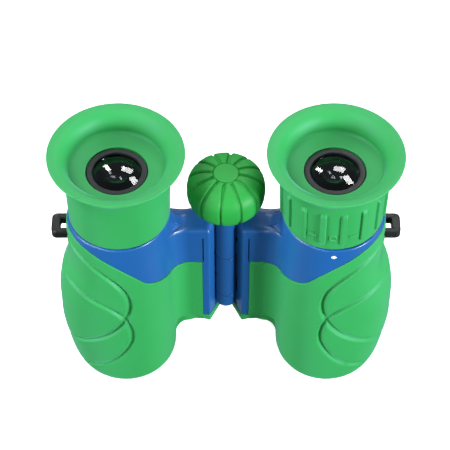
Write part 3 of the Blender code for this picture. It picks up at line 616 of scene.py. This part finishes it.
def top_rise(ring):
    """Lift of the wing's top: a slope up to its back edge, and more beside the focus knob."""
    behind = smooth_step((ring[:, 1] + 1.5) / 9.0)
    near = smooth_step((15.5 - ring[:, 0]) / 8.0)
    return behind * (1.0 + 1.2 * near)


def make_housing(prefix, side, zones, material):
    """One housing: covered by the armour below the seam, bare above it, with its bore and deck.

    Rings climb the outline, further in under the armour than above it.  The wing's top edge is a quarter
    circle, and its top runs up to the barrel's foot in a quarter-circle fillet.
    """
    shift = -0.1
    edges = [RAIL_EDGE + d for d in (-0.04, -0.16, -0.3, -0.5, 0.12, 0.3)]
    reach, across = columns(0.0, edges)[1:]
    line = seam(edges, HOUSING_COVER, shift)
    gap = 0.12
    rings = [round_ring(edges, 0.0, BORE_RADIUS, ARMOR + 0.5)]
    for height, extent, inset, bevel in wing_rows(HOUSING_COVER, False):
        rings.append(outline(edges, HOUSING_COVER + inset, height, extent, bevel))
    under = WING_BOTTOM + HOUSING_COVER + WING_EDGE
    for part in (0.3, 0.65, 1.0):
        rings.append(outline(edges, HOUSING_COVER, under + (line + gap - under) * part, 1.0))
    low_edge = 0.25
    for turn in np.linspace(0, math.pi / 2, 4):
        level = line + gap + 0.02 + low_edge * (1 - math.cos(turn))
        rings.append(outline(edges, BLUE_INSET + low_edge * (1 - math.sin(turn)), level, 1.0))
    splits = [KNUCKLE_FOOT, LOWER_SPLIT, UPPER_SPLIT, SLOT_LOW, SLOT_HIGH]
    levels = np.concatenate([np.linspace(18.0, WING_TOP - TOP_EDGE, 30),
                             [z + d for z in splits for d in (-0.04, 0.04)]])
    levels = np.sort(levels)
    slot_x = RAIL_EDGE - 0.22
    floor_level = line + gap + low_edge + 0.04
    for order, level in enumerate(levels):
        height = np.maximum(level, floor_level + ROW_STEP * order)
        in_slot = (np.abs(across - slot_x) < 0.12) & (height > SLOT_LOW) & (height < SLOT_HIGH)
        ring = outline(edges, BLUE_INSET, height, 1.0)
        ring[:, 1] += np.where(in_slot, np.where(ring[:, 1] < HINGE_Y, SLOT_DEPTH, -SLOT_DEPTH), 0.0)
        rings.append(relieve(ring, zones))
    count = len(levels)
    for turn in np.linspace(0, math.pi / 2, 7)[1:]:
        count += 1
        height = np.maximum(WING_TOP - TOP_EDGE + TOP_EDGE * math.sin(turn),
                            floor_level + ROW_STEP * count)
        ring = outline(edges, BLUE_INSET, height, 1.0, TOP_EDGE * (1 - math.cos(turn)))
        ring[:, 2] += np.where(reach > 0, top_rise(ring) * math.sin(turn)**2, 0.0)
        rings.append(relieve(ring, zones))
    fillet, start = 5.5, 0.5
    extents = np.concatenate([np.linspace(0.93, start, 8), start * (1 - np.linspace(0.1, 1, 14)**0.7)])
    for extent in extents:
        count += 1
        share = np.clip(1 - extent / start, 0, 1)
        raised = fillet * (1 - math.sqrt(1 - share * share))
        height = np.maximum(WING_TOP + raised, floor_level + ROW_STEP * count)
        ring = outline(edges, BLUE_INSET, height, extent, TOP_EDGE)
        ring[:, 2] += np.where(reach > 0, top_rise(ring) * (1 - share), 0.0)
        rings.append(relieve(ring, zones))
    shoulder_edge = 0.55
    for turn in np.linspace(0, math.pi / 2, 6):
        level = np.maximum(SHOULDER - shoulder_edge + shoulder_edge * math.sin(turn),
                           floor_level + ROW_STEP * (count + 1))
        rings.append(outline(edges, BLUE_INSET + shoulder_edge * (1 - math.cos(turn)), level, 0.0))
    for radius, height in ((SEAT_RADIUS, SHOULDER), (SEAT_RADIUS, DECK_TOP), (8.8, DECK_TOP),
                           (8.8, DECK_BOTTOM), (BORE_RADIUS, DECK_BOTTOM)):
        rings.append(round_ring(edges, 0.0, radius, height))
    rings = np.array(rings)
    rings[:, :, 0] *= side
    return close_rings(prefix + "shell", rings, material, sharp=32.0)


def turned(name, profile, centre, material, hollow=True, sides=128):
    """Surface turned about an upright axis from (radius, height) pairs."""
    angle = np.linspace(0, math.tau, sides, endpoint=False)
    radius, height = np.array(profile, float).T
    x = centre[0] + radius[:, None] * np.cos(angle)
    y = centre[1] + radius[:, None] * np.sin(angle)
    rings = np.stack([x, y, np.broadcast_to(height[:, None], x.shape)], axis=-1)
    return close_rings(name, rings, material, hollow)


def rounded(corners):
    """Profile through (radius, height, rounding) corners, each rounded by an arc of that radius."""
    profile = []
    count = len(corners)
    for index, (r, z, rounding) in enumerate(corners):
        here = np.array([r, z])
        if rounding <= 0:
            profile.append((r, z))
            continue
        before = np.array(corners[index - 1][:2]) - here
        after = np.array(corners[(index + 1) % count][:2]) - here
        before, after = before / np.linalg.norm(before), after / np.linalg.norm(after)
        for t in np.linspace(0, 1, 5):
            weight = (1 - t)**2 * before + t**2 * after
            profile.append(tuple(here + rounding * weight))
    return profile


def knuckle(name, low, high, foot):
    """One barrel of the hinge tube, with eased ends."""
    corners = [(KNUCKLE_RADIUS, low, foot), (KNUCKLE_RADIUS, high, 0.15), (KNUCKLE_BORE, high, 0.0),
               (KNUCKLE_BORE, low, 0.0)]
    return turned(name, rounded(corners), (0, HINGE_Y), BLUE_PLASTIC, sides=96)


HALF_GAP = 0.15
ABOVE_ALL = 99.0
MIDDLE = (LOWER_SPLIT + HALF_GAP, UPPER_SPLIT - HALF_GAP)
left_knuckles = [("middle_knuckle", *MIDDLE, 0.15)]
right_knuckles = [("lower_knuckle", KNUCKLE_FOOT, MIDDLE[0] - 2 * HALF_GAP, 0.6),
                  ("upper_knuckle", MIDDLE[1] + 2 * HALF_GAP, KNUCKLE_TOP, 0.15)]
left_zones = [(0, LOWER_SPLIT), (UPPER_SPLIT, ABOVE_ALL)]
right_zones = [(LOWER_SPLIT, UPPER_SPLIT), (0, KNUCKLE_FOOT)]
halves = (("left_", -1, "left_barrel", left_zones, left_knuckles),
          ("right_", 1, "right_barrel", right_zones, right_knuckles))
for prefix, side, body, zones, knuckles in halves:
    pieces = [make_housing(prefix, side, zones, BLUE_PLASTIC)]
    pieces += [knuckle(name, low, high, foot) for name, low, high, foot in knuckles]
    for piece in pieces:
        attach(piece, body)
        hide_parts(prefix + "housing")

# ---------------------------------------------------------------- strap lugs
# Each strap lug is a moulded black nylon plate with a slot, let into the housing through the armour.
LUG_TOP = 65.0
LUG_THICKNESS = 3.3
LUG_INNER = 49.6
LUG_OUTER = 57.4
LUG_HALF = 4.3
LUG_CORNER = 1.9
SLIT_LOW, SLIT_HIGH = (51.6, -2.0), (54.5, 2.0)
SLIT_CORNER = 0.55
BLACK_NYLON = moulded("black nylon", (0.012, 0.012, 0.012), 0.42, 0.32, 0.03, 0.3, gloss=0.2)


def rounded_box_outline(low, high, corner):
    """Closed outline of an upright-edged box, corners rounded, as (x, y) points."""
    points = []
    for quarter, (x, y) in enumerate(((high[0], high[1]), (low[0], high[1]), (low[0], low[1]),
                                      (high[0], low[1]))):
        centre = (x - corner * (1 if x == high[0] else -1), y - corner * (1 if y == high[1] else -1))
        for turn in np.linspace(quarter * math.pi / 2, (quarter + 1) * math.pi / 2, 8):
            points.append((centre[0] + corner * math.cos(turn), centre[1] + corner * math.sin(turn)))
    return np.array(points)


for prefix, side, body in (("left_", -1, "left_barrel"), ("right_", 1, "right_barrel")):
    plate = rounded_box_outline((LUG_INNER, -LUG_HALF), (LUG_OUTER, LUG_HALF), LUG_CORNER)
    slot = rounded_box_outline(SLIT_LOW, SLIT_HIGH, SLIT_CORNER)
    plate_middle = (LUG_INNER + LUG_OUTER) / 2
    slot_middle = (SLIT_LOW[0] + SLIT_HIGH[0]) / 2
    half = LUG_THICKNESS / 2
    middle = LUG_TOP - half
    rings = []
    for hole, bevel, level in ((0, 0.45, -half), (0, 0.0, -half + 0.45), (0, 0.0, half - 0.45),
                               (0, 0.45, half), (1, 0.3, half), (1, 0.0, half - 0.3),
                               (1, 0.0, -half + 0.3), (1, 0.3, -half)):
        shape = (slot if hole else plate).copy()
        about = np.array([slot_middle if hole else plate_middle, 0.0])
        shape += np.sign(shape - about) * (bevel if hole else -bevel)
        rings.append(np.column_stack([side * shape[:, 0], shape[:, 1],
                                      np.full(len(shape), middle + level)]))
    lug = close_rings(prefix + "lug", rings, BLACK_NYLON)
    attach(lug, body)
    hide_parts(prefix + "strap_lug")

# ---------------------------------------------------------------- eyecups and diopter ring
# The eyecups are soft green rubber, moulded in one with their barrels.  The rim flares out like a
# trumpet.  The right barrel is the diopter ring, with raised ribs and small raised marks.
RIM_HEIGHT = 99.0
RIM_RADIUS = 22.0
BARREL_LOW = 71.3
BARREL_RADIUS = 16.6
BARREL_TOP_RADIUS = 17.1
CUP_FLOOR = 90.5
CUP_CORNER = (15.6, 93.0)
FLARE_LOW = 91.0
RIM_ROUND = 0.3
SLEEVE_TOP = 89.0
SLEEVE_BORE = 12.75
RING_HOLE = 10.0
RIBS = 16
RIB_PHASE = -2.6
RIB_HALF_WIDTH = 0.85
RIB_HEIGHT = 0.8
RIB_LOW, RIB_HIGH = 74.3, 88.5
RIB_WALL = 0.4
RIB_END = 0.5


def cup_profile():
    """Profile of the eyecup: barrel, flare, thin rim, trumpet, floor and the bore inside.

    The flare widens with the square of its share in height, and the trumpet is a quarter of an ellipse.
    """
    outer = [(BARREL_RADIUS - 0.35, BARREL_LOW), (BARREL_RADIUS - 0.1, BARREL_LOW + 0.08),
             (BARREL_RADIUS, BARREL_LOW + 0.35)]
    low, high = BARREL_LOW + 0.6, FLARE_LOW
    for share in np.linspace(0, 1, 46):
        radius = BARREL_RADIUS + (BARREL_TOP_RADIUS - BARREL_RADIUS) * share
        outer.append((radius, low + (high - low) * share))
    for turn in np.linspace(0, 1, 16)[1:]:
        radius = BARREL_TOP_RADIUS + (RIM_RADIUS - 0.2 - BARREL_TOP_RADIUS) * turn**2.0
        outer.append((radius, high + (RIM_HEIGHT - 0.65 - high) * turn))
    for turn in np.linspace(-0.5, math.pi / 2, 9):
        outer.append((RIM_RADIUS - RIM_ROUND + RIM_ROUND * math.cos(turn),
                      RIM_HEIGHT - RIM_ROUND + RIM_ROUND * math.sin(turn)))
    outer += [(RIM_RADIUS - 0.8, RIM_HEIGHT - 0.01), (RIM_RADIUS - 1.2, RIM_HEIGHT - 0.03)]
    first = (RIM_RADIUS - 1.6, RIM_HEIGHT - 0.08)
    for turn in np.linspace(0, math.pi / 2, 24):
        outer.append((first[0] - (first[0] - CUP_CORNER[0]) * math.sin(turn),
                      CUP_CORNER[1] + (first[1] - CUP_CORNER[1]) * math.cos(turn)))
    outer += [(CUP_CORNER[0] - 0.06, CUP_CORNER[1] - 0.3), (CUP_CORNER[0] - 0.25, CUP_CORNER[1] - 0.5)]
    for share in np.linspace(0.1, 1, 8):
        outer.append((CUP_CORNER[0] + (RING_HOLE + 0.3 - CUP_CORNER[0]) * share,
                      CUP_CORNER[1] - 0.55 - (CUP_CORNER[1] - CUP_FLOOR - 0.8) * share**0.9))
    outer += [(RING_HOLE + 0.08, CUP_FLOOR + 0.28), (RING_HOLE, CUP_FLOOR + 0.1),
              (RING_HOLE, SLEEVE_TOP), (SLEEVE_BORE, SLEEVE_TOP), (SLEEVE_BORE, BARREL_LOW)]
    return np.array(outer)


def make_eyecup(name, centre_x, ribbed):
    """Turn the eyecup's profile, and raise the grip ribs on the ribbed one.

    A rib adds its height to the radius, eased from 0 to 1 across its walls and at both its ends.
    """
    profile = cup_profile()
    sides = RIBS * 44 if ribbed else 256
    angle = np.linspace(0, math.tau, sides, endpoint=False) - math.pi / 2
    radius = np.repeat(profile[:, :1], sides, axis=1)
    height = np.repeat(profile[:, 1:], sides, axis=1)
    if ribbed:
        pitch = math.tau / RIBS
        off = (angle + math.pi / 2 - math.radians(RIB_PHASE)) % pitch - pitch / 2
        across = smooth_step((RIB_HALF_WIDTH - np.abs(off) * BARREL_RADIUS) / RIB_WALL + 0.5)
        along = smooth_step((height - RIB_LOW) / RIB_END + 0.5)
        along = along * smooth_step((RIB_HIGH - height) / RIB_END + 0.5)
        outside = (profile[:, 0] > 16) & (profile[:, 1] < FLARE_LOW)
        radius = radius + RIB_HEIGHT * across[None, :] * along * outside[:, None]
    x = centre_x + radius * np.cos(angle)
    y = radius * np.sin(angle)
    return close_rings(name, np.stack([x, y, height], axis=-1), GREEN_RUBBER, sharp=50.0)


def tube_on_barrel(name, path, thickness, closed):
    """Raised line on the right barrel: a round bead along (degrees, height) points."""
    path = np.array(path, float)
    share = (path[:, 1] - BARREL_LOW) / (FLARE_LOW - BARREL_LOW)
    radius = BARREL_RADIUS + (BARREL_TOP_RADIUS - BARREL_RADIUS) * share + 0.02
    turn = np.radians(path[:, 0] + RIB_PHASE - 90)
    line = np.stack([HALF_SPACING + radius * np.cos(turn), radius * np.sin(turn), path[:, 1]], axis=1)
    outward = np.stack([np.cos(turn), np.sin(turn), np.zeros(len(turn))], axis=1)
    if closed:
        along = np.roll(line, -1, axis=0) - np.roll(line, 1, axis=0)
    else:
        along = np.gradient(line, axis=0)
    along /= np.linalg.norm(along, axis=1)[:, None]
    across = np.cross(along, outward)
    bead = np.linspace(0, math.tau, 12, endpoint=False)
    rings = line[:, None] + thickness * (np.cos(bead)[None, :, None] * across[:, None]
                                         + np.sin(bead)[None, :, None] * outward[:, None])
    return close_rings(name, rings, GREEN_RUBBER, hollow=closed)


left_cup = make_eyecup("left_cup", -HALF_SPACING, False)
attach(left_cup, "left_barrel")
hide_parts("left_eyecup")
right_cup = make_eyecup("right_cup", HALF_SPACING, True)
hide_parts("diopter_ring")
MARK_HEIGHT = 77.4
MARK_PITCH = 360 / RIBS
MARK_SIZE = 1.5
MARK_WIDTH = 1.3
MARK_BEAD = 0.36
ZERO_BEAD = 0.28
mark_degrees = math.degrees(MARK_WIDTH / BARREL_RADIUS)
run = np.linspace(-1, 1, 9)
loop = np.linspace(0, math.tau, 32, endpoint=False)
plus_bar = [(-MARK_PITCH + mark_degrees * t, MARK_HEIGHT) for t in run]
plus_post = [(-MARK_PITCH, MARK_HEIGHT + MARK_SIZE * t) for t in run]
zero = [(mark_degrees * 0.8 * math.cos(t), MARK_HEIGHT + MARK_SIZE * 0.85 * math.sin(t)) for t in loop]
minus_bar = [(MARK_PITCH + mark_degrees * t, MARK_HEIGHT) for t in run]
marks = [tube_on_barrel("plus_bar", plus_bar, MARK_BEAD, False),
         tube_on_barrel("plus_post", plus_post, MARK_BEAD, False),
         tube_on_barrel("zero_mark", zero, ZERO_BEAD, True),
         tube_on_barrel("minus_bar", minus_bar, MARK_BEAD, False)]
for piece in [right_cup, *marks]:
    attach(piece, "diopter_ring")

# ---------------------------------------------------------------- eyepieces
# A black anodised ring holds each eye lens, a coated glass dome that looks dark because the tube behind
# it is black.
BLACK_RING = moulded("black anodising", (0.010, 0.012, 0.014), 0.45, 0.2, 0.01, 0.2, gloss=0.22)


def coated_glass(name, tint):
    """Optical glass with the faint violet of its anti-reflection coating."""
    made = bpy.data.materials.new(name)
    made.use_nodes = True
    nodes, links = made.node_tree.nodes, made.node_tree.links
    shader = nodes["Principled BSDF"]
    place = nodes.new("ShaderNodeTexCoord")
    haze = nodes.new("ShaderNodeTexNoise")
    haze.inputs["Scale"].default_value = 120.0
    haze.inputs["Detail"].default_value = 2.0
    links.new(place.outputs["Object"], haze.inputs["Vector"])
    span = nodes.new("ShaderNodeMapRange")
    span.inputs["To Min"].default_value = 0.02
    span.inputs["To Max"].default_value = 0.05
    links.new(haze.outputs["Fac"], span.inputs["Value"])
    links.new(span.outputs["Result"], shader.inputs["Roughness"])
    shader.inputs["Base Color"].default_value = (*tint, 1.0)
    shader.inputs["Transmission Weight"].default_value = 1.0
    shader.inputs["IOR"].default_value = 1.52
    return made


EYE_GLASS = coated_glass("eye glass", (0.34, 0.35, 0.39))
LENS_EDGE = 7.8
LENS_HEIGHT = 89.75
LENS_BOW = 1.7
LENS_BACK_BOW = 2.4
LENS_EDGE_THICKNESS = 1.2
LENS_RING_RADIUS = 9.75
LENS_RING_LIP = 8.1
LENS_RING_LOW = 88.6


def make_eyepiece(prefix, centre_x, body):
    """Retaining ring with its stepped inner edge, and the domed eye lens.

    Each face of the lens is a paraboloid, the outer one bowed up and the inner one down.
    """
    corners = [(LENS_RING_RADIUS, LENS_RING_LOW, 0.0), (LENS_RING_RADIUS, CUP_FLOOR, 0.3),
               (LENS_RING_LIP, CUP_FLOOR, 0.15), (LENS_EDGE, CUP_FLOOR - 0.35, 0.05),
               (LENS_EDGE, LENS_RING_LOW, 0.0)]
    ring = turned(prefix + "lens_ring", rounded(corners), (centre_x, 0), BLACK_RING, sides=160)
    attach(ring, body)
    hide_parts(prefix + "eyepiece_ring")
    edge = LENS_EDGE - 0.15
    share = np.linspace(0.02, 1, 26)
    dome = [(edge * t, LENS_HEIGHT + LENS_BOW * (1 - t * t)) for t in share]
    bowl = [(edge * t, LENS_HEIGHT - LENS_EDGE_THICKNESS - LENS_BACK_BOW * (1 - t * t)) for t in share]
    lens = turned(prefix + "eye_glass", bowl + dome[::-1], (centre_x, 0), EYE_GLASS, False, 128)
    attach(lens, body)
    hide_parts(prefix + "eye_lens")


make_eyepiece("left_", -HALF_SPACING, "left_barrel")
make_eyepiece("right_", HALF_SPACING, "right_eyepiece")

# ---------------------------------------------------------------- focus knob
# The focus knob is a melon-shaped wheel in a deeper green plastic.  Twelve grooves run from its flat
# cap to a narrow band round its lower edge.
KNOB_LOW = 70.4
KNOB_HIGH = 86.4
KNOB_RADIUS = 12.8
KNOB_SEGMENTS = 12
KNOB_FULLNESS = 2.8
KNOB_PHASE = -98.0
KNOB_GROOVE_DEPTH = 0.7
KNOB_GROOVE_HALF = 0.48
KNOB_GROOVE_WALL = 0.7
KNOB_BAND = 0.3
CAP_RADIUS = 4.1
KNOB_GREEN = moulded("knob green", (0.013, 0.225, 0.031), 0.55, 0.22, 0.012, 0.05, gloss=0.25)


def make_knob():
    """Turn the knob's rounded outline and sink its grooves.

    The outline is a superellipse.  Each groove is a narrow channel with eased walls, and it fades into
    the band at the foot.
    """
    middle, half = (KNOB_LOW + KNOB_HIGH) / 2, (KNOB_HIGH - KNOB_LOW) / 2
    bottom = [(CAP_RADIUS, KNOB_LOW + 1.2), (8.0, KNOB_LOW + 0.3)]
    turn = np.linspace(-1.12, 1.32, 80)
    power = 2 / KNOB_FULLNESS
    bulge = [(KNOB_RADIUS * math.cos(t)**power, middle + half * math.copysign(abs(math.sin(t))**power, t))
             for t in turn]
    cap_edge = [(CAP_RADIUS + 0.25, KNOB_HIGH - 0.1), (CAP_RADIUS + 0.1, KNOB_HIGH - 0.25),
                (CAP_RADIUS + 0.1, KNOB_HIGH - 1.9), (1.25, KNOB_HIGH - 1.9), (1.25, KNOB_LOW + 1.2)]
    bulge = [point for point in bulge if point[0] > CAP_RADIUS + 0.6]
    profile = np.array(bottom + bulge + cap_edge)
    sides = KNOB_SEGMENTS * 32
    angle = np.linspace(0, math.tau, sides, endpoint=False)
    first = math.radians(KNOB_PHASE)
    off = (angle - first + math.pi / KNOB_SEGMENTS) % (math.tau / KNOB_SEGMENTS) - math.pi / KNOB_SEGMENTS
    radius = np.repeat(profile[:, :1], sides, axis=1)
    height = np.repeat(profile[:, 1:], sides, axis=1)
    along = smooth_step((profile[:, 1] - KNOB_LOW - 1.6) / 1.0) * (profile[:, 0] > CAP_RADIUS + 0.3)
    around = np.abs(off)[None, :] * np.maximum(radius, 3.0)
    dent = KNOB_GROOVE_DEPTH * smooth_step((KNOB_GROOVE_HALF - around) / KNOB_GROOVE_WALL + 0.5)
    dent = dent * along[:, None]
    lean = np.gradient(profile, axis=0)
    lean /= np.linalg.norm(lean, axis=1)[:, None]
    radius = radius - dent * lean[:, 1:]
    height = height + dent * lean[:, :1]
    band = (profile[:, 1] < KNOB_LOW + 1.4) & (profile[:, 0] > 8.5)
    radius = radius + KNOB_BAND * band[:, None]
    x = radius * np.cos(angle)
    y = HINGE_Y + radius * np.sin(angle)
    return close_rings("melon_knob", np.stack([x, y, height], axis=-1), KNOB_GREEN, sharp=55.0)


knob = make_knob()
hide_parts("focus_knob")
cap_corners = [(CAP_RADIUS, KNOB_HIGH - 1.6, 0.0), (CAP_RADIUS, KNOB_HIGH, 0.28),
               (0.05, KNOB_HIGH, 0.0), (0.05, KNOB_HIGH - 1.6, 0.0)]
cap = turned("cap_disc", rounded(cap_corners), (0, HINGE_Y), KNOB_GREEN, sides=96)
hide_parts("knob_cap")
for piece in (knob, cap):
    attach(piece, "focus_knob")

# ---------------------------------------------------------------- pieces that keep their shape
# The optics, cells, screws and hinge fittings inside keep their own shapes and get the finish that each
# is made with: black anodising, ground glass, turned brass and bright steel.  The focus arms instead get
# a near-black metal, painted shade that keeps the gaps beside the hinge knuckles dark.


def turned_metal(name, colour, roughness):
    """Bare metal with fine turning marks, rings in height that scatter the light a little."""
    made = bpy.data.materials.new(name)
    made.use_nodes = True
    nodes, links = made.node_tree.nodes, made.node_tree.links
    shader = nodes["Principled BSDF"]
    shader.inputs["Base Color"].default_value = (*colour, 1.0)
    shader.inputs["Metallic"].default_value = 1.0
    place = nodes.new("ShaderNodeTexCoord")
    rings = nodes.new("ShaderNodeTexWave")
    rings.bands_direction = "Z"
    rings.inputs["Scale"].default_value = 900.0
    rings.inputs["Distortion"].default_value = 1.5
    links.new(place.outputs["Object"], rings.inputs["Vector"])
    span = nodes.new("ShaderNodeMapRange")
    span.inputs["To Min"].default_value = roughness - 0.08
    span.inputs["To Max"].default_value = roughness + 0.08
    links.new(rings.outputs["Fac"], span.inputs["Value"])
    links.new(span.outputs["Result"], shader.inputs["Roughness"])
    return made


PRISM_GLASS = coated_glass("prism glass", (0.9, 0.95, 0.93))
BRASS = turned_metal("turned brass", (0.72, 0.52, 0.22), 0.3)
STEEL = turned_metal("bright steel", (0.62, 0.62, 0.64), 0.28)
WHITE_PAINT = moulded("white paint", (0.86, 0.86, 0.86), 0.4, 0.3, 0.004, 0.03)
finishes = {"black_plastic": BLACK_RING, "coated_glass": EYE_GLASS, "prism_glass": PRISM_GLASS,
            "brass": BRASS, "steel": STEEL, "white_paint": WHITE_PAINT, "green_rubber": GREEN_RUBBER,
            "green_plastic": KNOB_GREEN, "blue_plastic": BLUE_PLASTIC}
# Near-black metal on the focus arms: painted shade for the gaps beside the knuckles, not their own
# finish.
ARM_PAINTED_SHADE = turned_metal("focus arm painted shade", (0.02, 0.025, 0.04), 0.5)
slot_of = {entry["node"]: entry["material_slot"] for entry in frame["record"]["subparts"]}
for name, node in frame["nodes"].items():
    finish = ARM_PAINTED_SHADE if name.endswith("focus_arm") else finishes[slot_of[name]]
    if not node.data.materials:
        node.data.materials.append(finish)
    for index in range(len(node.data.materials)):
        node.data.materials[index] = finish
